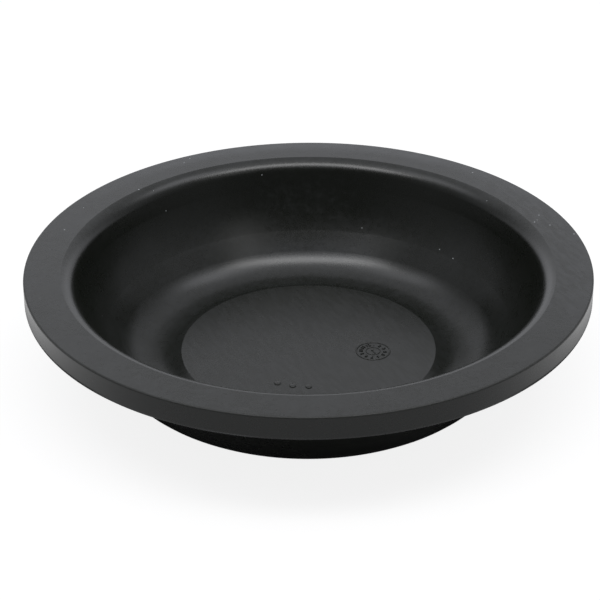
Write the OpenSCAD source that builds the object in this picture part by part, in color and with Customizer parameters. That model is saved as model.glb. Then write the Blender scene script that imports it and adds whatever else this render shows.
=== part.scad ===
// Diaphragm of a hydraulic breaker's gas chamber.
// One rubber moulding: a thick flat clamping rim, a bowl wall that flares out towards
// the rim, a round channel at the foot of the wall and a flat raised disc in the middle.
// Units are millimetres. The base lies on z = 0 and the axis is +Z.
// The whole body is one section turned about the axis. The section is drawn with
// sharp corners first, and each corner is then rounded by a true arc.

/* [Piece shown] */
// which piece is drawn, or all of them

/* [Overall size] */
// diameter over the rim
rim_diameter = 200; // [192:1:240]
// height from the base to the top of the rim
overall_height = 41.4; // [38:0.1:56]

/* [Clamping rim] */
// thickness of the rim between its two clamping faces
rim_thickness = 9; // [6:0.5:12]
// width of the flat clamping face on top of the rim
face_width = 13.1; // [9:0.1:16]
// rounding of the rim's top outer edge
rim_top_radius = 0.6; // [0.3:0.1:2]
// rounding of the rim's bottom outer edge
rim_bottom_radius = 1.5; // [0.3:0.1:2.5]

/* [Lip of the bowl] */
// slope at which the lip leaves the flat face, in degrees
lip_angle = 8; // [4:1:20]
// rounding of the lip over the bowl wall
lip_radius = 6; // [2:0.5:8]

/* [Bowl wall] */
// thickness of the wall, measured square to it
wall_thickness = 4.4; // [3:0.1:6]
// slope of the upper wall, in degrees from level
upper_wall_angle = 71; // [64:1:78]
// slope of the lower wall, in degrees from level
lower_wall_angle = 53; // [46:1:60]
// height above the base at which the two slopes would meet, inside
bend_height = 23.9; // [18:0.1:28]
// rounding of the bend between the two slopes, inside
bend_radius = 52; // [10:1:70]
// rounding between the wall and the rim's lower face
neck_radius = 2.5; // [0.5:0.5:5]

/* [Channel round the disc] */
// thickness of the floor under the channel
floor_thickness = 4.4; // [3:0.1:6]
// rounding of the channel towards the wall
channel_radius = 15.5; // [4:0.5:20]
// rounding of the channel towards the disc
channel_inner_radius = 10.5; // [2:0.5:16]
// slope of the flank that climbs to the disc, in degrees
flank_angle = 30; // [22:1:60]

/* [Raised disc] */
// diameter of the raised disc
disc_diameter = 91.3; // [76:0.1:96]
// thickness of the disc, from the base to its top
disc_thickness = 7.65; // [6.5:0.05:11]
// rounding of the disc's top edge
disc_edge_radius = 0.4; // [0.1:0.1:1]

/* [Hidden] */
$fn = 180;
rim_radius = rim_diameter / 2;
disc_radius = disc_diameter / 2;
mouth_radius = rim_radius - face_width;
rim_underside = overall_height - rim_thickness;
outer_corner_radius = channel_radius + wall_thickness;
outer_bend_radius = bend_radius + wall_thickness;

function unit(v) = v / norm(v);

// Direction of a slope that falls towards the axis, and the way out of the rubber's
// inner face into the wall.
function falling(angle) = [-cos(angle), -sin(angle)];
function into_wall(angle) = [sin(angle), -cos(angle)];

// Point where two lines meet, each given by a point and a direction.
function meet(p, d, q, e) =
    p + d * ((q.x - p.x) * e.y - (q.y - p.y) * e.x) / (d.x * e.y - d.y * e.x);

// Point of a line at a height.
function at_height(p, d, z) = meet(p, d, [0, z], [1, 0]);

// The lip's arc starts at the edge of the flat face and ends on the upper wall.
lip_centre = [mouth_radius, overall_height] + into_wall(lip_angle) * lip_radius;
wall_start = lip_centre - into_wall(upper_wall_angle) * lip_radius;
wall_top = at_height(wall_start, falling(upper_wall_angle), overall_height);

// Inside: the two slopes of the wall, the level floor and the flank of the disc.
inner_bend = at_height(wall_start, falling(upper_wall_angle), bend_height);
wall_foot = at_height(inner_bend, falling(lower_wall_angle), floor_thickness);
disc_edge = [disc_radius, disc_thickness];
flank_foot = at_height(disc_edge, falling(-flank_angle), floor_thickness);

// Outside: the two slopes again, moved out square to the wall by its thickness.
outer_upper = inner_bend + into_wall(upper_wall_angle) * wall_thickness;
outer_lower = inner_bend + into_wall(lower_wall_angle) * wall_thickness;
neck = at_height(outer_upper, falling(upper_wall_angle), rim_underside);
outer_bend = meet(outer_upper, falling(upper_wall_angle), outer_lower, falling(lower_wall_angle));
outer_foot = at_height(outer_lower, falling(lower_wall_angle), 0);

// Every corner of the section, once round it: its place, its rounding, and the length
// of its sides that something else already takes. A zero leaves the corner sharp here,
// and the lip is rounded by itself.
section = [
    [[0, 0], 0, 0],
    [outer_foot, outer_corner_radius, 0],
    [outer_bend, outer_bend_radius, 0],
    [neck, neck_radius, 0],
    [[rim_radius, rim_underside], rim_bottom_radius, 0],
    [[rim_radius, overall_height], rim_top_radius, 0],
    [wall_top, 0, norm(wall_top - wall_start)],
    [inner_bend, bend_radius, 0],
    [wall_foot, channel_radius, 0],
    [flank_foot, channel_inner_radius, 0],
    [disc_edge, disc_edge_radius, 0],
    [[0, disc_thickness], 0, 0]
];
count = len(section);
function entry(i) = section[(i + count) % count];
function corner(i) = entry(i)[0];

// Directions along the two sides of a corner, and half the angle between them.
function back(i) = unit(corner(i - 1) - corner(i));
function ahead(i) = unit(corner(i + 1) - corner(i));
function inward(i) = unit(back(i) + ahead(i));
function half_angle(i) = acos(back(i) * ahead(i)) / 2;

// True where the section turns outwards, so that rounding takes rubber away.
function is_convex(i) = ahead(i).x * back(i).y - ahead(i).y * back(i).x > 0;

// A rounding is limited by the sides that it shares with its neighbours, and a short
// straight rest is left between two of them.
rest = 0.3;
function wanted(i) = entry(i)[2] + entry(i)[1] / tan(half_angle(i));
function side(i) = norm(corner(i + 1) - corner(i));
function share(i) = min(1, (side(i) - rest) / max(wanted(i) + wanted(i + 1), rest));
function rounding(i) = entry(i)[1] * min(share(i - 1), share(i));
function reach(i) = rounding(i) / tan(half_angle(i));
function centre(i) = corner(i) + inward(i) * rounding(i) / sin(half_angle(i));

// The circle that touches both sides of a corner. It is a hair larger than its rounding,
// so that it crosses each side at one clean point.
hair = 0.0002;
module touching_circle(i) {
    translate(centre(i))
        circle(r = rounding(i) + hair);
}

// Rubber that an outward corner loses, between its tip and its circle.
tip = 0.2;
module trim(i) {
    difference() {
        polygon([
            corner(i) + back(i) * reach(i),
            corner(i) - inward(i) * tip,
            corner(i) + ahead(i) * reach(i)
        ]);
        touching_circle(i);
    }
}

// Rubber that the filled-in section has too much of at an inward corner: a sector of the
// circle, which ends a little past the arc, where the circle is clear of the sides.
function past_arc(i, way) = centre(i) + (corner(i) + way * (reach(i) + rest) - centre(i)) * 2;
module scoop(i) {
    intersection() {
        touching_circle(i);
        polygon([centre(i), past_arc(i, back(i)), past_arc(i, ahead(i))]);
    }
}

// What the lip's arc takes off between the flat face and the wall.
module lip_trim() {
    difference() {
        polygon([lip_centre, [lip_centre.x, overall_height], wall_top + [-tip, tip], wall_start]);
        translate(lip_centre)
            circle(r = lip_radius + hair);
    }
}

// The section with its outward corners sharp and its inward ones filled straight across.
module filled_section() {
    polygon([
        for (i = [0 : count - 1])
            each rounding(i) > 0 && !is_convex(i)
                ? [corner(i) + back(i) * reach(i), corner(i) + ahead(i) * reach(i)]
                : [corner(i)]
    ]);
}

module rounded_section() {
    difference() {
        filled_section();
        lip_trim();
        for (i = [0 : count - 1])
            if (rounding(i) > 0 && is_convex(i))
                trim(i);
        for (i = [0 : count - 1])
            if (rounding(i) > 0 && !is_convex(i))
                scoop(i);
    }
}

module diaphragm() {
    color([0.05, 0.05, 0.052])
        rotate_extrude()
            rounded_section();
}

diaphragm();
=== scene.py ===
import math
import random

import bpy
from bpy.props import FloatProperty, FloatVectorProperty, IntProperty, PointerProperty
from mathutils import Matrix, Vector


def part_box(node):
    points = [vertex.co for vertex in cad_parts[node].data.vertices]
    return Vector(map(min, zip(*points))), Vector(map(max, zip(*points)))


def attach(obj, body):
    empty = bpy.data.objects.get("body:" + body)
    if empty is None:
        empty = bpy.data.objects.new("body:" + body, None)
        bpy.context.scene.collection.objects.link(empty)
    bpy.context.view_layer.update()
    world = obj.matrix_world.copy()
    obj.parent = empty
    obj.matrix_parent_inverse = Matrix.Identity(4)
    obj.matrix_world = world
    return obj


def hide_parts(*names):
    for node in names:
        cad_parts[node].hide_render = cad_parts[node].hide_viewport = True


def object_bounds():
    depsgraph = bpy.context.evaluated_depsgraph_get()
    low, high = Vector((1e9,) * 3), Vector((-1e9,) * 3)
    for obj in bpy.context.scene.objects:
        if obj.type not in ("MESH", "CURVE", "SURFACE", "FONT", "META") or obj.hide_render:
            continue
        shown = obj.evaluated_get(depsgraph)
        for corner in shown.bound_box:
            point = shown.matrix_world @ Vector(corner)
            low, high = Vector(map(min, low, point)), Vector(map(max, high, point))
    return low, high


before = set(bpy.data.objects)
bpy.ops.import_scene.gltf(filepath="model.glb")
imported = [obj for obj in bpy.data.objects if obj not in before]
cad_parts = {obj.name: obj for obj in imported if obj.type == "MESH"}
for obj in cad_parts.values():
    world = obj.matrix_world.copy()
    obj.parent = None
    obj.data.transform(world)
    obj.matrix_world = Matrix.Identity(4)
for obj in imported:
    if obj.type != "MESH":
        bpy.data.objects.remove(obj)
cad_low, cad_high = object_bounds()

bl_info = {
    "name": "Breaker Diaphragm",
    "version": (1, 0, 0),
    "blender": (4, 5, 0),
    "location": "View3D > Sidebar > Diaphragm",
    "description": "Dresses a hydraulic breaker's rubber diaphragm and sets up its studio",
    "category": "Object",
}

BODY = "root"
NODE = "diaphragm"
MATERIAL = "moulded_rubber"

# A millimetre in metres, and a radian in degrees.
MM = 0.001
DEGREES = 180 / math.pi

# Sizes over all, from the CAD part.
RIM_TOP = cad_high.z
RIM_RADIUS = cad_high.x

# How deep the foot of a raised mark goes into the rubber under it.
BURIED = 0.06 * MM

# Points nearer to each other than this are one point, and a place may be off by the slack.
SAME_PLACE = 1e-7
SLACK = 1e-6

WHITE = (1.0, 1.0, 1.0, 1.0)


# Settings


def length(name, description, millimetres, low, high):
    return FloatProperty(
        name=name,
        description=description,
        unit="LENGTH",
        default=millimetres * MM,
        min=low * MM,
        max=high * MM,
        precision=5,
    )


def angle(name, description, degrees):
    return FloatProperty(
        name=name,
        description=description,
        subtype="ANGLE",
        default=math.radians(degrees),
    )


def share(name, description, default):
    return FloatProperty(
        name=name,
        description=description,
        subtype="FACTOR",
        default=default,
        min=0.0,
        max=1.0,
        precision=3,
    )


def colour(name, description, default):
    return FloatVectorProperty(
        name=name,
        description=description,
        subtype="COLOR",
        size=3,
        default=default,
        min=0.0,
        max=1.0,
    )


def brightness(name, description, default):
    return FloatProperty(name=name, description=description, default=default, min=0.0, max=20.0)


class MouldingSettings(bpy.types.PropertyGroup):
    """The section of the moulding, as in the CAD part."""

    rim_thickness: length("Rim thickness", "Thickness of the rim", 9, 6, 12)
    face_width: length("Face width", "Width of the flat face on top of the rim", 13.1, 9, 16)
    rim_top_radius: length("Rim top radius", "Rounding of the rim's top edge", 0.6, 0.3, 2)
    rim_bottom_radius: length(
        "Rim bottom radius", "Rounding of the rim's bottom edge", 1.5, 0.3, 2.5
    )
    lip_angle: angle("Lip angle", "Slope at which the lip leaves the flat face", 8)
    lip_radius: length("Lip radius", "Rounding of the lip over the wall", 6, 2, 8)
    wall_thickness: length("Wall thickness", "Thickness of the bowl's wall", 4.4, 3, 6)
    upper_wall: angle("Upper wall", "Slope of the upper wall from level", 71)
    lower_wall: angle("Lower wall", "Slope of the lower wall from level", 53)
    bend_height: length("Bend height", "Height where the wall's two slopes meet", 23.9, 18, 28)
    bend_radius: length("Bend radius", "Rounding between the wall's two slopes", 52, 10, 70)
    neck_radius: length("Neck radius", "Rounding between the wall and the rim", 2.5, 0.5, 5)
    floor_thickness: length("Floor thickness", "Thickness under the channel", 4.4, 3, 6)
    channel_radius: length("Channel radius", "Rounding of the channel at the wall", 15.5, 4, 20)
    channel_inner_radius: length(
        "Inner radius", "Rounding of the channel at the disc", 10.5, 2, 16
    )
    flank_angle: angle("Flank angle", "Slope of the flank that climbs to the disc", 30)
    disc_diameter: length("Disc diameter", "Diameter of the raised disc", 91.3, 76, 96)
    disc_thickness: length("Disc thickness", "Thickness of the disc", 7.65, 6.5, 11)
    disc_edge_radius: length("Disc edge", "Rounding of the disc's edge", 0.4, 0.1, 1)


class RubberSettings(bpy.types.PropertyGroup):
    """The rubber's finish."""

    clean: colour("Clean rubber", "Colour of the clean rubber", (0.0034, 0.0046, 0.0022))
    dust: colour("Dust", "Colour of the fine dust on the rubber", (0.215, 0.225, 0.24))
    lint: colour("Lint", "Colour of the specks of lint", (0.42, 0.44, 0.45))
    haze: share("Haze", "How much dust lies on the faces that look upwards", 0.02)
    streaks: share("Streaks", "How far the dark streaks wipe the haze away", 0.9)
    pale_band: share("Pale band", "Dust on the outer half of the flat face, behind", 0.12)
    stain: share("Stain", "Strength of the stain on the wall, behind", 0.026)
    # The pale band at the wall's foot, behind, is a painted reflection, not dust.
    foot_dust: share("Painted foot reflection", "Painted reflection on the foot of the wall, behind", 0.11)
    scuff: share("Scuff", "Strength of the scuff on the rim's lower edge, in front", 0.14)
    roughness: share("Roughness", "Roughness of the clean rubber", 0.28)
    grain: length("Grain height", "Height of the fine grain left by the mould", 0.01, 0, 0.2)


class DialSettings(bpy.types.PropertyGroup):
    """The raised dial of plain numbers on the disc."""

    right: length("Right", "How far right of the axis the dial stands", 23.1, -40, 40)
    back: length("Back", "How far behind the axis the dial stands", -2.75, -40, 40)
    diameter: length("Diameter", "Diameter over the dial's ring", 12.6, 6, 20)
    relief: length("Relief", "Height of the ring and numbers over the disc", 0.25, 0.05, 0.6)
    number_size: length("Number size", "Size of the numbers as type", 1.9, 0.6, 3)
    turn: angle("Turn", "How far the dial is turned about its centre", 24)


class PipSettings(bpy.types.PropertyGroup):
    """The row of round pips near the front of the disc."""

    count: IntProperty(name="Count", description="Number of pips", default=3, min=1, max=8)
    diameter: length("Diameter", "Diameter of a pip at its foot", 2.4, 0.5, 5)
    relief: length("Relief", "Height of a pip over the disc", 0.3, 0.05, 0.8)
    row_radius: length("Row radius", "Distance of the row from the axis", 26.8, 5, 42)
    first: angle("First", "Direction of the first pip from the axis", -114)
    step: angle("Step", "Angle from one pip to the next", 12)


class FlashSettings(bpy.types.PropertyGroup):
    """The scrap of moulding flash on the rim's edge."""

    direction: angle("Direction", "Direction of the scrap from the axis", 65.3)
    length: length("Length", "Length of the scrap along the rim", 3.2, 0.5, 10)
    width: length("Width", "How far the scrap stands out from the rim", 0.5, 0.1, 2)
    thickness: length("Thickness", "Thickness of the scrap", 0.22, 0.05, 0.6)


class StageSettings(bpy.types.PropertyGroup):
    """Floor and lamps."""

    floor: share("Floor", "Paleness of the floor", 0.5)
    # The lit paper is a painted glow on the floor, not paper lit by a lamp.
    paper: brightness("Lit paper", "Brightness of the lit paper behind the part", 1.1)
    room: brightness("Room light", "Strength of the light from the studio all round", 1.0)
    top: brightness("Top light", "Brightness of the long soft box overhead", 3.9)
    right: brightness("Right light", "Brightness of the soft box at the front right", 0.55)


# Shader maths


class Wire:
    """An output of a node tree. Operators add Math nodes, and node() adds any other one."""

    def __init__(self, tree, socket=None):
        self.tree = tree
        self.socket = socket

    def node(self, kind, settings=None, inputs=None, output=0):
        made = self.tree.nodes.new(kind)
        for name, value in (settings or {}).items():
            if name == "stops":
                set_stops(made.color_ramp, value)
            else:
                setattr(made, name, value)
        for name, value in (inputs or {}).items():
            if isinstance(value, Wire):
                self.tree.links.new(value.socket, made.inputs[name])
            else:
                made.inputs[name].default_value = value
        return Wire(self.tree, made.outputs[output] if made.outputs else None)

    def into(self, socket):
        self.tree.links.new(self.socket, socket)

    def maths(self, operation, *values):
        return self.node("ShaderNodeMath", {"operation": operation}, dict(enumerate(values)))

    def __add__(self, other):
        return self.maths("ADD", self, other)

    def __radd__(self, other):
        return self.maths("ADD", other, self)

    def __sub__(self, other):
        return self.maths("SUBTRACT", self, other)

    def __rsub__(self, other):
        return self.maths("SUBTRACT", other, self)

    def __mul__(self, other):
        return self.maths("MULTIPLY", self, other)

    def __rmul__(self, other):
        return self.maths("MULTIPLY", other, self)

    def __truediv__(self, other):
        return self.maths("DIVIDE", self, other)

    def __pow__(self, other):
        return self.maths("POWER", self, other)

    def __abs__(self):
        return self.maths("ABSOLUTE", self)

    def or_(self, other):
        """The stronger of two masks."""
        return self.maths("MAXIMUM", self, other)

    def rise(self, low, high):
        """0 at low and 1 at high, with a soft rise between them."""
        return self.node(
            "ShaderNodeMapRange",
            {"interpolation_type": "SMOOTHSTEP"},
            {"Value": self, "From Min": low, "From Max": high},
        )

    def band(self, low, high, soft):
        """1 between low and high, with soft ends."""
        return self.rise(low - soft, low + soft) * (1 - self.rise(high - soft, high + soft))

    def parts(self):
        """The three numbers of a vector."""
        return [self.node("ShaderNodeSeparateXYZ", None, {"Vector": self}, i) for i in "XYZ"]

    def vector(self, x, y, z):
        return self.node("ShaderNodeCombineXYZ", None, {"X": x, "Y": y, "Z": z})

    def scaled(self, factor):
        settings = {"operation": "SCALE"}
        return self.node("ShaderNodeVectorMath", settings, {0: self, "Scale": factor})

    def distance(self, point):
        settings = {"operation": "DISTANCE"}
        return self.node("ShaderNodeVectorMath", settings, {0: self, 1: point}, "Value")

    def noise(self, size, detail, roughness=0.5):
        """Noise with features of a size, where this wire is a position in the same unit."""
        return self.node(
            "ShaderNodeTexNoise",
            None,
            {"Vector": self, "Scale": 1 / size, "Detail": detail, "Roughness": roughness},
        )

    def mixed(self, first, second):
        """A colour that goes from the first to the second as this wire goes from 0 to 1."""
        inputs = {"Factor": self, "A": first, "B": second}
        return self.node("ShaderNodeMix", {"data_type": "RGBA"}, inputs, "Result")

    def mixed_shader(self, first, second):
        """A shader that goes from the first to the second as this wire goes from 0 to 1."""
        return self.node("ShaderNodeMixShader", None, {0: self, 1: first, 2: second})


def set_stops(ramp, stops):
    """Gives a ramp its stops, each a place and a grey."""
    while len(ramp.elements) < len(stops):
        ramp.elements.new(1.0)
    for element, (place, grey) in zip(ramp.elements, stops):
        element.position = place
        element.color = (grey, grey, grey, 1.0)


# Rubber

RUBBER_IOR = 1.6

# Patterns, from the finest to the widest: size in millimetres, octaves of detail and, where
# it isn't 0.5, roughness.
GRAIN = (0.55, 2.0)
MOTTLE = (1.8, 3.0, 0.6)
WISP = (2.8, 5.0, 0.65)
WAVE = (3.4, 2.0)
PATCH = (8.0, 4.0, 0.6)
CLOUD = (26.0, 3.0, 0.55)

# The short streaks on the clamping face and the disc: their way from the axis' right towards
# the front, their length and width in millimetres, and their octaves of detail.
STREAK_WAY = Vector((0.43, -0.90))
STREAK_LENGTH = 8.0
STREAK_WIDTH = 1.8
STREAK_DETAIL = 3.0

# Masks: the value at which each begins and the value at which it is full, or for a band its
# two ends and their softness. Radii, heights and sides are in millimetres, and turns are
# degrees round the axis, with 0 at the right and 90 behind. Facing is how far a face looks
# up, and inward facing is how far it looks at the axis, times its radius.
LEVEL_FACING = (0.1, 1.0)
INWARD_FACING = (0.0, 20.0)
RING_RADII = (86.0, 88.0)
RING_FACING = (0.9, 0.98)
RING_HEIGHTS = (40.0, 41.0)
DISC_RADII = (44.5, 46.0)
DISC_HEIGHTS = (6.0, 7.0)
RIGHT_TURNS = (-24.0, 46.0, 14.0)
STREAK_NOISE = (0.42, 0.58)
STREAK_RADII = (93.0, 99.0)
BLOOM_RADII = (88.0, 97.0)
BAND_TURNS = (45.0, 135.0, 25.0)
BAND_RADII = (91.0, 97.0)
STAIN_NOISE = (0.44, 0.70)
STAIN_TURNS = (78.0, 105.0, 6.0)
STAIN_HEIGHTS = (21.0, 35.0, 6.0)
# Painted reflection on the foot of the wall, behind: its turns, and the heights where it rises
# and fades.
REFLECTION_PAINT_TURNS = (68.0, 110.0, 10.0)
REFLECTION_PAINT_BOTTOM = (5.5, 9.0)
REFLECTION_PAINT_TOP = (9.5, 18.0)
SCUFF_TURNS = (-110.0, -100.0, 2.0)
SCUFF_HEIGHTS = (32.8, 33.6, 0.2)
SCUFF_RADII = (98.6, 99.2)
TOP_EDGE_RADII = (99.3, 99.6)
TOP_EDGE_HEIGHTS = (40.6, 40.9)
LOW_EDGE_RADII = (98.4, 98.8)
LOW_EDGE_HEIGHTS = (33.8, 34.4)
LOW_EDGE_SIDES = (60.0, 80.0)

# How much the patterns cloud the haze, about the middle of a noise.
NOISE_MIDDLE = 0.5
MOTTLE_TONE = 4.5
PATCH_TONE = 3.6
CLOUD_TONE = 2.6

# Shares of the haze that the disc lacks and of the streaks that the rim's edge lacks, the
# bloom in multiples of the haze, and the pale band's strength between its patches.
DISC_CLEARED = 0.6
STREAK_FADE = 0.6
RING_BLOOM = 1.8
DISC_BLOOM = 0.8
BAND_LEAST = 0.5

# What each pattern and mark adds to the roughness, and the wave to the height of the grain.
PATTERN_ROUGHNESS = 0.06
STAIN_ROUGHNESS = 0.05
TOP_EDGE_ROUGHNESS = 0.3
LOW_EDGE_ROUGHNESS = 0.6
WAVE_HEIGHT = 1.8

# Specks of lint that lie on the rubber: place and radius in millimetres. A speck is solid
# out to a share of its radius.
SPECK_CORE = 0.6
SPECKS = (
    ((84.6, 37.4, 41.4), 0.28),
    ((82.5, 31.9, 41.4), 0.30),
    ((83.6, 33.5, 41.4), 0.20),
    ((87.9, 29.5, 41.4), 0.28),
    ((95.9, 22.5, 41.4), 0.30),
    ((62.6, 72.7, 41.4), 0.26),
    ((-88.4, 27.5, 41.4), 0.30),
    ((-82.9, 44.9, 41.4), 0.20),
    ((-63.4, 59.5, 41.4), 0.30),
    ((-45.4, 86.0, 41.4), 0.26),
    ((-47.5, 82.5, 41.4), 0.22),
    ((66.6, 51.5, 40.1), 0.26),
    ((76.6, 37.9, 40.8), 0.22),
    ((-58.2, 60.9, 40.1), 0.28),
    ((-53.6, 59.8, 32.2), 0.24),
    ((-17.6, 80.0, 37.1), 0.28),
    ((20.7, 70.6, 18.9), 0.24),
    ((49.7, 53.9, 18.4), 0.28),
    ((54.4, 48.2, 17.6), 0.28),
    ((-73.9, 2.8, 19.4), 0.22),
)


def rubber_material():
    """Satin black rubber: a fine mould grain, a thin bloom, streaks, a stain, dust, lint and a
    painted reflection at the wall's foot.
    """
    rubber = bpy.context.scene.diaphragm_rubber
    material = bpy.data.materials.new(MATERIAL)
    material.use_nodes = True
    tree = material.node_tree
    shader = tree.nodes["Principled BSDF"]
    start = Wire(tree)

    # Places in millimetres, and the direction from the axis in degrees.
    place = start.node("ShaderNodeTexCoord", output="Object").scaled(1 / MM)
    x, y, z = place.parts()
    facing_x, facing_y, facing_z = start.node("ShaderNodeNewGeometry", output="Normal").parts()
    radius = (x * x + y * y) ** 0.5
    turn = y.maths("ARCTAN2", y, x) * DEGREES

    # Where the main finishes lie.
    level = facing_z.rise(*LEVEL_FACING)
    ring = radius.rise(*RING_RADII) * facing_z.rise(*RING_FACING) * z.rise(*RING_HEIGHTS)
    disc = (1 - radius.rise(*DISC_RADII)) * z.rise(*DISC_HEIGHTS)
    inside = (0 - facing_x * x - facing_y * y).rise(*INWARD_FACING)

    # Patterns.
    grain = place.noise(*GRAIN)
    mottle = place.noise(*MOTTLE)
    wave = place.noise(*WAVE)
    patch = place.noise(*PATCH)
    cloud = place.noise(*CLOUD)
    along = x * STREAK_WAY.x + y * STREAK_WAY.y
    across = x * -STREAK_WAY.y + y * STREAK_WAY.x
    stretched = start.vector(along / STREAK_LENGTH, across / STREAK_WIDTH, 0.0)
    streak = stretched.noise(1.0, STREAK_DETAIL)
    wisp = place.noise(*WISP)

    # Bloom and dust, and one painted reflection: clouds on the faces that look up, a bloom with
    # dark streaks in it at the right, a paler outer band at the back, a stain of release agent
    # on the wall at the back, a painted reflection at the wall's foot, and a scuff on the rim's
    # lower edge in front.
    right_ring = ring * turn.band(*RIGHT_TURNS)
    streaked = right_ring * (1 - radius.rise(*STREAK_RADII) * STREAK_FADE) + disc
    streaks = streak.rise(*STREAK_NOISE) * streaked
    bloom = right_ring * (RING_BLOOM + radius.rise(*BLOOM_RADII)) + disc * DISC_BLOOM
    band = ring * turn.band(*BAND_TURNS) * radius.rise(*BAND_RADII) * (BAND_LEAST + patch)
    stain = wisp.rise(*STAIN_NOISE) * inside * turn.band(*STAIN_TURNS) * z.band(*STAIN_HEIGHTS)
    # Painted reflection: the foot of the wall at the back is made paler in colour to stand for
    # a reflection.
    foot = inside * z.rise(*REFLECTION_PAINT_BOTTOM) * (1 - z.rise(*REFLECTION_PAINT_TOP)) * turn.band(*REFLECTION_PAINT_TURNS)
    scuff = turn.band(*SCUFF_TURNS) * z.band(*SCUFF_HEIGHTS) * radius.rise(*SCUFF_RADII)
    tone = (
        1
        + (mottle - NOISE_MIDDLE) * MOTTLE_TONE
        + (patch - NOISE_MIDDLE) * PATCH_TONE
        + (cloud - NOISE_MIDDLE) * CLOUD_TONE
    )
    haze = (level * tone * (1 - disc * DISC_CLEARED) + bloom) * (1 - streaks * rubber.streaks)
    # The dust's share also carries the painted reflection at the wall's foot.
    dust = (
        haze * rubber.haze
        + band * rubber.pale_band
        + stain * rubber.stain
        + foot * rubber.foot_dust
        + scuff * rubber.scuff
    )
    tint = dust.mixed((*rubber.clean, 1.0), (*rubber.dust, 1.0))

    specks = 0
    for point, size in SPECKS:
        specks = (1 - place.distance(point).rise(size * SPECK_CORE, size)).or_(specks)
    tint = specks.mixed(tint, (*rubber.lint, 1.0))

    # The rim's top edge is rubbed dull, and its lower edge at the two sides.
    top_edge = radius.rise(*TOP_EDGE_RADII) * z.rise(*TOP_EDGE_HEIGHTS)
    low_edge = radius.rise(*LOW_EDGE_RADII) * (1 - z.rise(*LOW_EDGE_HEIGHTS))
    low_edge = low_edge * abs(x).rise(*LOW_EDGE_SIDES)
    rough = (
        rubber.roughness
        + (cloud - NOISE_MIDDLE) * PATTERN_ROUGHNESS
        + (mottle - NOISE_MIDDLE) * PATTERN_ROUGHNESS
        + stain * STAIN_ROUGHNESS
        + top_edge * TOP_EDGE_ROUGHNESS
        + low_edge * LOW_EDGE_ROUGHNESS
    )
    height = grain + wave * WAVE_HEIGHT
    bump = start.node("ShaderNodeBump", None, {"Distance": rubber.grain, "Height": height})

    tint.into(shader.inputs["Base Color"])
    rough.into(shader.inputs["Roughness"])
    bump.into(shader.inputs["Normal"])
    shader.inputs["IOR"].default_value = RUBBER_IOR


# Modelling


def deselect_all():
    if bpy.context.object and bpy.context.object.mode != "OBJECT":
        bpy.ops.object.mode_set(mode="OBJECT")
    bpy.ops.object.select_all(action="DESELECT")


def select_points(piece, wanted):
    """Selects the points of a piece in edit mode whose place passes a test."""
    bpy.ops.mesh.select_all(action="DESELECT")
    bpy.ops.object.mode_set(mode="OBJECT")
    for point in piece.data.vertices:
        point.select = wanted(point.co)
    bpy.ops.object.mode_set(mode="EDIT")


def edit_all():
    """Opens the active piece in edit mode with all of it selected."""
    bpy.ops.object.mode_set(mode="EDIT")
    bpy.ops.mesh.select_all(action="SELECT")


def extrude(x, y, z):
    """Draws what is selected out by a distance along each axis."""
    bpy.ops.mesh.extrude_region_move(TRANSFORM_OT_translate={"value": (x, y, z)})


def close_up():
    """Merges the active piece's doubles and turns every face outwards."""
    edit_all()
    bpy.ops.mesh.remove_doubles(threshold=SAME_PLACE)
    bpy.ops.mesh.normals_make_consistent(inside=False)
    bpy.ops.object.mode_set(mode="OBJECT")


def joined(parts, name):
    deselect_all()
    for part in parts:
        part.select_set(True)
    bpy.context.view_layer.objects.active = parts[0]
    bpy.ops.object.join()
    piece = bpy.context.object
    piece.name = name
    return piece


def settle(piece, smooth):
    """Puts the piece's place into its mesh, smooths all but the edges sharper than an angle
    in degrees, gives it the rubber and lets it ride on the part."""
    deselect_all()
    piece.select_set(True)
    bpy.context.view_layer.objects.active = piece
    bpy.ops.object.transform_apply(location=True, rotation=True, scale=True)
    bpy.ops.object.shade_smooth_by_angle(angle=math.radians(smooth))
    piece.data.name = piece.name
    piece.data.materials.clear()
    piece.data.materials.append(bpy.data.materials[MATERIAL])
    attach(piece, BODY)


# Moulding

# Steps of the full turn about the axis, and the most that one step of an arc turns.
TURN_STEPS = 240
ARC_STEP = math.radians(7)

# A straight side has a supporting point this far from each end, unless it is too short.
SUPPORT = 0.25 * MM
SHORT_SIDE = 4 * SUPPORT


def falling(slope):
    """Direction of a slope that falls towards the axis."""
    return Vector((-math.cos(slope), -math.sin(slope)))


def into_wall(slope):
    """Direction square to such a slope, out of the bowl and into the rubber."""
    return Vector((math.sin(slope), -math.cos(slope)))


def at_height(point, slope, height):
    """Where a line of a slope through a point passes a height."""
    return point + falling(slope) * (point.y - height) / math.sin(slope)


def crossing(point, slope, other, other_slope):
    """Where two lines meet, each given by a point and a slope."""
    way, cross = falling(slope), falling(other_slope)
    gap = other - point
    spread = way.x * cross.y - way.y * cross.x
    return point + way * (gap.x * cross.y - gap.y * cross.x) / spread


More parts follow.
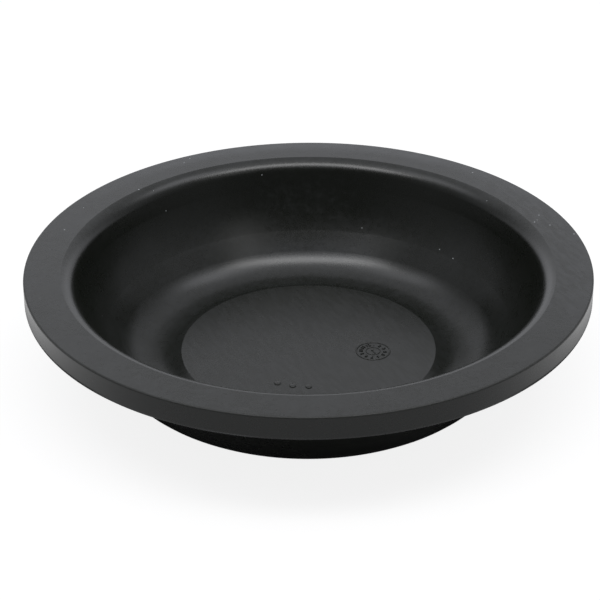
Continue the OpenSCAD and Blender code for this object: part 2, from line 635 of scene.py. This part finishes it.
def section_strokes(size):
    """The section from the middle of the base round to the middle of the disc: each stroke
    is its end and the centre of its arc, or None where it is straight."""
    upper, lower = size.upper_wall, size.lower_wall
    mouth = Vector((RIM_RADIUS - size.face_width, RIM_TOP))
    lip_centre = mouth + into_wall(size.lip_angle) * size.lip_radius
    wall_start = lip_centre - into_wall(upper) * size.lip_radius
    underside = RIM_TOP - size.rim_thickness

    inner_bend = at_height(wall_start, upper, size.bend_height)
    wall_foot = at_height(inner_bend, lower, size.floor_thickness)
    disc_edge = Vector((size.disc_diameter / 2, size.disc_thickness))
    flank_foot = at_height(disc_edge, -size.flank_angle, size.floor_thickness)

    outer_upper = inner_bend + into_wall(upper) * size.wall_thickness
    outer_lower = inner_bend + into_wall(lower) * size.wall_thickness
    outer_bend = crossing(outer_upper, upper, outer_lower, lower)

    outside = [
        (Vector((0, 0)), 0),
        (at_height(outer_lower, lower, 0), size.channel_radius + size.wall_thickness),
        (outer_bend, size.bend_radius + size.wall_thickness),
        (at_height(outer_upper, upper, underside), size.neck_radius),
        (Vector((RIM_RADIUS, underside)), size.rim_bottom_radius),
        (Vector((RIM_RADIUS, RIM_TOP)), size.rim_top_radius),
        (mouth, 0),
    ]
    inside = [
        (wall_start, 0),
        (inner_bend, size.bend_radius),
        (wall_foot, size.channel_radius),
        (flank_foot, size.channel_inner_radius),
        (disc_edge, size.disc_edge_radius),
        (Vector((0, size.disc_thickness)), 0),
    ]
    return rounded(outside) + [(mouth, None), (wall_start, lip_centre)] + rounded(inside)


def rounded(corners):
    """Strokes along a line of corners, with an arc in place of each inner corner."""
    strokes = []
    for i in range(1, len(corners) - 1):
        corner, rounding = corners[i]
        back = (corners[i - 1][0] - corner).normalized()
        ahead = (corners[i + 1][0] - corner).normalized()
        half = back.angle(ahead) / 2
        reach = rounding / math.tan(half)
        centre = corner + (back + ahead).normalized() * rounding / math.sin(half)
        strokes.append((corner + back * reach, None))
        strokes.append((corner + ahead * reach, centre))
    return strokes + [(corners[-1][0], None)]


def draw_line(pen, end):
    """Extrudes the last point to the end, with a supporting point near both ends."""
    way = end - pen
    stops = [1.0]
    if way.length > SHORT_SIDE:
        stops = [SUPPORT / way.length, 1 - SUPPORT / way.length, 1.0]
    done = 0.0
    for stop in stops:
        move = way * (stop - done)
        extrude(move.x, 0, move.y)
        done = stop
    return end


def draw_arc(pen, centre, end):
    """Spins the last point about the centre to the end."""
    sweep = (pen - centre).angle_signed(end - centre)
    bpy.ops.mesh.spin(
        steps=max(2, math.ceil(abs(sweep) / ARC_STEP)),
        angle=-sweep,
        center=(centre.x, 0, centre.y),
        axis=(0, 1, 0),
    )
    return end


class DIAPHRAGM_OT_moulding(bpy.types.Operator):
    """Draws the section of the moulding and turns it about the axis"""

    bl_idname = "diaphragm.moulding"
    bl_label = "Moulding"

    def execute(self, context):
        size = context.scene.diaphragm_moulding
        rubber_material()
        deselect_all()
        bpy.ops.mesh.primitive_plane_add(size=MM)
        piece = bpy.context.object
        piece.name = "moulding"

        # The pen is a single point, which is drawn out along the section.
        edit_all()
        bpy.ops.mesh.merge(type="CENTER")
        pen = Vector((0, 0))
        for end, centre in section_strokes(size):
            if centre:
                pen = draw_arc(pen, centre, end)
            elif (end - pen).length > SAME_PLACE:
                pen = draw_line(pen, end)
        bpy.ops.mesh.select_all(action="SELECT")
        bpy.ops.mesh.spin(steps=TURN_STEPS, angle=math.tau, center=(0, 0, 0), axis=(0, 0, 1))
        close_up()
        settle(piece, smooth=20)

        # The edge between the flat face and the lip stays crisp.
        mouth = RIM_RADIUS - size.face_width
        bpy.ops.object.mode_set(mode="EDIT")
        select_points(
            piece,
            lambda co: abs(co.xy.length - mouth) < SLACK and co.z > RIM_TOP - SLACK,
        )
        bpy.ops.mesh.mark_sharp()
        bpy.ops.object.mode_set(mode="OBJECT")

        low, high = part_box(NODE)
        for point in piece.data.vertices:
            if point.co.z < low.z - SLACK or point.co.z > high.z + SLACK:
                raise RuntimeError("the moulding is taller or lower than the CAD part")
        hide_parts(NODE)
        return {"FINISHED"}


# Raised marks

# The dial: widths of the ring's ridge and the arrow's shaft, and shares of the dial's outer
# radius, of the ridge's width and of the relief.
DIAL_NUMBERS = 12
RIDGE_WIDTH = 0.55 * MM
SHAFT_WIDTH = 0.32 * MM
INNER_RING_RADIUS = 0.4
INNER_RIDGE_WIDTH = 0.7
INNER_RING_RELIEF = 0.8
ARROW_LENGTH = 0.62
NUMBERS_RADIUS = 0.67

# The arrow's head: its length as a share of the arrow, and its width in shafts.
HEAD_LENGTH = 0.4
HEAD_WIDTH = 3.2

# How much the type's strokes are thickened, as a share of its size.
TYPE_SWELL = 0.012

# How far down a pip is rounded, as a share of its relief.
PIP_ROUNDING = 0.8

# The scrap of flash: how far its root goes into the rim, how far its middle lies below the
# rim's top, its steps, and the taper and unevenness of its torn edge.
FLASH_ROOT = 0.6 * MM
FLASH_DROP = 1.1 * MM
FLASH_STEPS = 14
FLASH_TAPER = 0.6
FLASH_UNEVEN = (0.55, 1.0)
FLASH_SEED = 7


def raised_ring(radius, width, relief):
    """A round ridge: a torus made as low as the relief, with its buried part cut off."""
    deselect_all()
    bpy.ops.mesh.primitive_torus_add(
        major_segments=96,
        minor_segments=16,
        major_radius=radius,
        minor_radius=width / 2,
    )
    ring = bpy.context.object
    edit_all()
    bpy.ops.transform.resize(value=(1, 1, 2 * relief / width))
    bpy.ops.mesh.bisect(
        plane_co=(0, 0, -BURIED),
        plane_no=(0, 0, 1),
        threshold=SAME_PLACE,
        clear_inner=True,
        use_fill=True,
    )
    close_up()
    return ring


def raised_arrow(length, width, relief):
    """An arrow: a plane for the shaft, its end drawn out to a head, and all of it raised."""
    deselect_all()
    bpy.ops.mesh.primitive_plane_add(size=1)
    arrow = bpy.context.object
    head = length * HEAD_LENGTH
    edit_all()
    bpy.ops.transform.resize(value=(width, length * (1 - HEAD_LENGTH), 1))
    bpy.ops.transform.translate(value=(0, -head / 2, 0))
    select_points(arrow, lambda co: co.y > 0)
    bpy.ops.mesh.extrude_region_move()
    bpy.ops.transform.resize(value=(HEAD_WIDTH, 1, 1))
    extrude(0, head, 0)
    bpy.ops.mesh.merge(type="CENTER")
    bpy.ops.mesh.select_all(action="SELECT")
    bpy.ops.transform.translate(value=(0, 0, -BURIED))
    extrude(0, 0, relief + BURIED)
    close_up()
    return arrow


def raised_number(text, size, relief, centre, turn):
    """A number in plain type that stands up from the disc."""
    deselect_all()
    bpy.ops.object.text_add()
    number = bpy.context.object
    number.data.body = text
    number.data.size = size
    number.data.resolution_u = 3
    number.data.align_x = "CENTER"
    number.data.align_y = "CENTER"
    number.data.extrude = (relief + BURIED) / 2
    number.data.offset = size * TYPE_SWELL
    bpy.ops.object.convert(target="MESH")
    number = bpy.context.object
    number.location = (centre.x, centre.y, (relief - BURIED) / 2)
    number.rotation_euler.z = turn
    bpy.ops.object.transform_apply(location=True, rotation=True, scale=True)
    close_up()
    return number


class DIAPHRAGM_OT_date_dial(bpy.types.Operator):
    """Makes the raised dial of plain numbers on the disc"""

    bl_idname = "diaphragm.date_dial"
    bl_label = "Date Dial"

    def execute(self, context):
        dial = context.scene.diaphragm_dial
        disc_top = context.scene.diaphragm_moulding.disc_thickness
        outer = dial.diameter / 2
        parts = [
            raised_ring(outer - RIDGE_WIDTH / 2, RIDGE_WIDTH, dial.relief),
            raised_ring(
                outer * INNER_RING_RADIUS,
                RIDGE_WIDTH * INNER_RIDGE_WIDTH,
                dial.relief * INNER_RING_RELIEF,
            ),
            raised_arrow(outer * ARROW_LENGTH, SHAFT_WIDTH, dial.relief),
        ]
        # The numbers stand like those of a clock, with their feet towards the centre.
        for number in range(1, DIAL_NUMBERS + 1):
            way = math.pi / 2 - number * math.tau / DIAL_NUMBERS
            centre = Vector((math.cos(way), math.sin(way))) * outer * NUMBERS_RADIUS
            turn = way - math.pi / 2
            parts.append(
                raised_number(str(number), dial.number_size, dial.relief, centre, turn)
            )
        piece = joined(parts, "date_dial")
        piece.rotation_euler.z = dial.turn
        piece.location = (dial.right, dial.back, disc_top)
        settle(piece, smooth=30)
        return {"FINISHED"}


class DIAPHRAGM_OT_mould_pips(bpy.types.Operator):
    """Makes the row of small round pips near the front of the disc"""

    bl_idname = "diaphragm.mould_pips"
    bl_label = "Mould Pips"

    def execute(self, context):
        pips = context.scene.diaphragm_pips
        disc_top = context.scene.diaphragm_moulding.disc_thickness
        parts = []
        for i in range(pips.count):
            way = pips.first + i * pips.step
            deselect_all()
            bpy.ops.mesh.primitive_cylinder_add(
                vertices=32,
                radius=pips.diameter / 2,
                depth=pips.relief + BURIED,
                location=(
                    pips.row_radius * math.cos(way),
                    pips.row_radius * math.sin(way),
                    disc_top + (pips.relief - BURIED) / 2,
                ),
            )
            pip = bpy.context.object
            bpy.ops.object.mode_set(mode="EDIT")
            select_points(pip, lambda co: co.z > 0)
            bpy.ops.mesh.bevel(offset=pips.relief * PIP_ROUNDING, segments=3, affect="EDGES")
            bpy.ops.object.mode_set(mode="OBJECT")
            parts.append(pip)
        piece = joined(parts, "mould_pips")
        close_up()
        settle(piece, smooth=40)
        return {"FINISHED"}


class DIAPHRAGM_OT_flash_scrap(bpy.types.Operator):
    """Makes the torn scrap of moulding flash on the rim's edge"""

    bl_idname = "diaphragm.flash_scrap"
    bl_label = "Flash Scrap"

    def execute(self, context):
        flash = context.scene.diaphragm_flash
        root = RIM_RADIUS - FLASH_ROOT
        tip = RIM_RADIUS + flash.width
        sweep = flash.length / RIM_RADIUS
        deselect_all()
        bpy.ops.mesh.primitive_plane_add(size=1)
        scrap = bpy.context.object
        edit_all()
        bpy.ops.transform.rotate(value=math.pi / 2, orient_axis="X", center_override=(0, 0, 0))
        bpy.ops.transform.resize(value=(tip - root, 1, flash.thickness))
        bpy.ops.transform.translate(value=((root + tip) / 2, 0, RIM_TOP - FLASH_DROP))
        bpy.ops.mesh.spin(steps=FLASH_STEPS, angle=sweep, center=(0, 0, 0), axis=(0, 0, 1))
        bpy.ops.object.mode_set(mode="OBJECT")

        # The outer edge is torn: each step along it stands out by a width of its own.
        draw = random.Random(FLASH_SEED)
        ragged = {}
        for point in scrap.data.vertices:
            out = math.hypot(point.co.x, point.co.y)
            if out < RIM_RADIUS:
                continue
            along = min(1.0, abs(math.atan2(point.co.y, point.co.x)) / sweep)
            key = round(along, 3)
            if key not in ragged:
                taper = math.sin(math.pi * along) ** FLASH_TAPER
                ragged[key] = taper * draw.uniform(*FLASH_UNEVEN)
            point.co.xy *= (RIM_RADIUS + flash.width * ragged[key]) / out
        close_up()
        scrap.name = "flash_scrap"
        scrap.rotation_euler.z = flash.direction
        settle(scrap, smooth=30)
        return {"FINISHED"}


# Studio

# The photograph's camera: it looks at the middle of the rim's top, a little off centre. Its
# distance is in metres, its sensor and lens in millimetres.
CAMERA_LIFT = math.radians(28.66)
CAMERA_DISTANCE = 0.8
CAMERA_YAW = math.radians(-0.211)
CAMERA_PITCH = math.radians(-0.883)
CAMERA_ROLL = math.radians(-0.353)
CAMERA_SENSOR = 36.0
CAMERA_LENS = 136.26

# Light of the room by the angle over the part, in degrees: 0 is the horizon behind it,
# 90 is overhead and 180 is the horizon at the camera's side. The sides of the room are
# dimmer than its middle. ROOM_PEAK is brighter than every stop, because a ramp ends at 1.
ROOM_MIDDLE = (
    (-180, 0.10),
    (-8, 0.56),
    (8, 0.68),
    (20, 1.10),
    (32, 0.50),
    (50, 0.54),
    (68, 0.62),
    (80, 0.78),
    (90, 0.78),
    (104, 0.52),
    (118, 0.28),
    (128, 0.05),
    (145, 0.04),
    (168, 0.10),
)
ROOM_SIDES = (
    (-180, 0.10),
    (-8, 0.50),
    (8, 0.54),
    (20, 0.66),
    (32, 0.30),
    (44, 0.26),
    (80, 0.30),
    (118, 0.22),
    (168, 0.18),
)
ROOM_PEAK = 1.2
ROOM_COLOUR = (0.985, 0.995, 1.05, 1.0)

# Where the middle of the room gives way to its sides, from 0 in the middle to 1 at a wall.
SIDES = (0.35, 0.95)

# Lit screens of the room: lowest and highest angle over the part, left and right end from
# -1 to 1 across the room, and brightness.
SCREENS = (
    (74, 100, -0.74, -0.38, 0.95),
    (74, 100, 0.38, 0.74, 1.35),
    (112, 125, -0.45, 0.22, 0.95),
    (115, 129, -0.50, -0.32, 0.55),
    (-30, 38, -0.72, -0.12, 0.15),
)
SCREEN_SOFT_ANGLE = 6
SCREEN_SOFT_SIDE = 0.15

# Soft boxes: setting, lift and turn in degrees from behind the part, then distance, width
# and height in metres. They face the aim, a point inside the bowl.
SOFT_BOXES = (
    ("top", 73, 180, 1.0, 1.25, 0.3),
    ("right", 41, 137, 1.2, 0.34, 0.3),
)
AIM = Vector((0, 0, 0.02))

# The paper floor, in metres: its size, where its painted glow begins towards the back and round
# the part, and where the painted shadow at the part's foot begins towards the back and ends
# round it.
FLOOR_SIZE = 8
LIT_DEPTH = (-0.13, 0.05)
LIT_RADIUS = (0.115, 0.155)
PAINTED_SHADOW_DEPTH = (-0.07, -0.03)
PAINTED_SHADOW_RADIUS = (0.11, 0.14)
PAINTED_SHADOW_STRENGTH = 0.85

# The floor as the camera sees it: a white glow with a share of plain paper for the shadow.
SEEN_PAPER = (0.2, 0.2, 0.2, 1.0)
SEEN_GLOW = 0.86


def add_camera():
    lift, yaw, pitch = CAMERA_LIFT, CAMERA_YAW, CAMERA_PITCH
    forward = Vector((0, math.cos(lift), -math.sin(lift)))
    side = Vector((1, 0, 0))
    over = Vector((0, math.sin(lift), math.cos(lift)))
    look = (
        forward * math.cos(yaw) * math.cos(pitch)
        + side * math.sin(yaw) * math.cos(pitch)
        + over * math.sin(pitch)
    )
    level = look.cross(Vector((0, 0, 1))).normalized()
    upright = level.cross(look)
    right = level * math.cos(CAMERA_ROLL) + upright * math.sin(CAMERA_ROLL)
    up = right.cross(look)
    data = bpy.data.cameras.new("camera")
    data.sensor_width = CAMERA_SENSOR
    data.lens = CAMERA_LENS
    data.clip_start = 0.01
    data.clip_end = 50
    camera = bpy.data.objects.new("camera", data)
    bpy.context.scene.collection.objects.link(camera)
    turn = Matrix((right, up, -look)).transposed().to_4x4()
    place = Vector((0, 0, RIM_TOP)) - forward * CAMERA_DISTANCE
    camera.matrix_world = Matrix.Translation(place) @ turn
    bpy.context.scene.camera = camera


def add_soft_box(name, strength, lift, turn, distance, width, height):
    """A rectangular lamp that faces the part. Its strength is the brightness of its face."""
    lift, turn = math.radians(lift), math.radians(turn)
    way = Vector(
        (math.cos(lift) * math.sin(turn), math.cos(lift) * math.cos(turn), math.sin(lift))
    )
    data = bpy.data.lights.new(name, "AREA")
    data.shape = "RECTANGLE"
    data.size = width
    data.size_y = height
    data.energy = strength * math.pi * width * height
    lamp = bpy.data.objects.new(name, data)
    bpy.context.scene.collection.objects.link(lamp)
    lamp.location = AIM + way * distance
    lamp.rotation_euler = (-way).to_track_quat("-Z", "Y").to_euler()
    lamp.visible_camera = False


def ramp_place(degrees):
    """Place along a ramp of an angle from -180 to 180 degrees, as a number or as a wire."""
    return (degrees + 180) / 360


def room_world(strength):
    """A studio that is bright behind the part and dim at the camera. The camera sees white."""
    world = bpy.data.worlds.new("studio")
    world.use_nodes = True
    tree = world.node_tree
    tree.nodes.clear()
    start = Wire(tree)
    x, y, z = start.node("ShaderNodeTexCoord", output="Generated").parts()
    over = z.maths("ARCTAN2", z, y) * DEGREES
    ramps = []
    for lights in (ROOM_MIDDLE, ROOM_SIDES):
        stops = [(ramp_place(degrees), light / ROOM_PEAK) for degrees, light in lights]
        inputs = {"Fac": ramp_place(over)}
        ramps.append(start.node("ShaderNodeValToRGB", {"stops": stops}, inputs))
    middle, sides = ramps
    aside = abs(x).rise(*SIDES)
    light = (middle * (1 - aside) + sides * aside) * ROOM_PEAK
    for low, high, left, right, screen in SCREENS:
        shape = over.band(low, high, SCREEN_SOFT_ANGLE) * x.band(left, right, SCREEN_SOFT_SIDE)
        light = light + shape * screen
    light = light * strength
    lit = start.node("ShaderNodeBackground", None, {"Color": ROOM_COLOUR, "Strength": light})
    plain = start.node("ShaderNodeBackground", None, {"Color": WHITE, "Strength": 1.0})
    camera = start.node("ShaderNodeLightPath", output="Is Camera Ray")
    shown = camera.mixed_shader(lit, plain)
    start.node("ShaderNodeOutputWorld", None, {"Surface": shown})
    bpy.context.scene.world = world


def floor_material(paleness, lit):
    """White paper that keeps the part's shadow for the camera. The part sees it plain in
    front, glowing behind as painted light, and darkened by painted shadow close beside and
    behind its own foot."""
    material = bpy.data.materials.new("floor_paper")
    material.use_nodes = True
    tree = material.node_tree
    tree.nodes.clear()
    start = Wire(tree)
    place = start.node("ShaderNodeTexCoord", output="Object")
    across = place.distance((0, 0, 0))
    depth = place.parts()[1]
    # Painted light: the paper behind the part glows for the part to reflect, and the glow fades
    # out near the part as painted shadow.
    behind = depth.rise(*LIT_DEPTH) * across.rise(*LIT_RADIUS)
    # Painted shadow: the paper's grey is darkened close beside and behind the part's foot.
    dark = depth.rise(*PAINTED_SHADOW_DEPTH) * (1 - across.rise(*PAINTED_SHADOW_RADIUS))
    grey = (1 - dark * PAINTED_SHADOW_STRENGTH) * paleness
    plain = start.node("ShaderNodeBsdfDiffuse", None, {"Color": start.vector(grey, grey, grey)})
    light = start.node("ShaderNodeEmission", None, {"Strength": behind * lit})
    paper = start.node("ShaderNodeAddShader", None, {0: plain, 1: light})
    shade = start.node("ShaderNodeBsdfDiffuse", None, {"Color": SEEN_PAPER})
    glow = start.node("ShaderNodeEmission", None, {"Strength": SEEN_GLOW})
    seen = start.node("ShaderNodeAddShader", None, {0: shade, 1: glow})
    camera = start.node("ShaderNodeLightPath", output="Is Camera Ray")
    below = start.node("ShaderNodeNewGeometry", output="Backfacing")
    clear = start.node("ShaderNodeBsdfTransparent")
    shown = camera.mixed_shader(paper, seen)
    surface = (below * camera).mixed_shader(shown, clear)
    start.node("ShaderNodeOutputMaterial", None, {"Surface": surface})
    return material


class DIAPHRAGM_OT_stage(bpy.types.Operator):
    """Makes the floor, the studio's light, the soft boxes and the camera"""

    bl_idname = "diaphragm.stage"
    bl_label = "Stage"

    def execute(self, context):
        stage = context.scene.diaphragm_stage
        deselect_all()
        bpy.ops.mesh.primitive_plane_add(size=FLOOR_SIZE)
        floor = bpy.context.object
        floor.name = "floor"
        floor.data.materials.append(floor_material(stage.floor, stage.paper))
        room_world(stage.room)
        for name, *setting in SOFT_BOXES:
            add_soft_box(name + "_light", getattr(stage, name), *setting)
        add_camera()
        context.scene.view_settings.view_transform = "Standard"
        return {"FINISHED"}


# Sidebar

PANELS = (
    ("diaphragm_moulding", MouldingSettings, DIAPHRAGM_OT_moulding),
    ("diaphragm_rubber", RubberSettings, None),
    ("diaphragm_dial", DialSettings, DIAPHRAGM_OT_date_dial),
    ("diaphragm_pips", PipSettings, DIAPHRAGM_OT_mould_pips),
    ("diaphragm_flash", FlashSettings, DIAPHRAGM_OT_flash_scrap),
    ("diaphragm_stage", StageSettings, DIAPHRAGM_OT_stage),
)


class DIAPHRAGM_PT_sidebar(bpy.types.Panel):
    bl_label = "Diaphragm"
    bl_idname = "DIAPHRAGM_PT_sidebar"
    bl_space_type = "VIEW_3D"
    bl_region_type = "UI"
    bl_category = "Diaphragm"

    def draw(self, context):
        for name, group, operator in PANELS:
            box = self.layout.box()
            for field in group.__annotations__:
                box.prop(getattr(context.scene, name), field)
            if operator:
                box.operator(operator.bl_idname)


def register():
    for name, group, operator in PANELS:
        bpy.utils.register_class(group)
        setattr(bpy.types.Scene, name, PointerProperty(type=group))
        if operator:
            bpy.utils.register_class(operator)
    bpy.utils.register_class(DIAPHRAGM_PT_sidebar)


def unregister():
    bpy.utils.unregister_class(DIAPHRAGM_PT_sidebar)
    for name, group, operator in reversed(PANELS):
        if operator:
            bpy.utils.unregister_class(operator)
        delattr(bpy.types.Scene, name)
        bpy.utils.unregister_class(group)


def main():
    register()
    bpy.ops.diaphragm.moulding()
    bpy.ops.diaphragm.date_dial()
    bpy.ops.diaphragm.mould_pips()
    bpy.ops.diaphragm.flash_scrap()
    bpy.ops.diaphragm.stage()


if __name__ == "__main__":
    main()
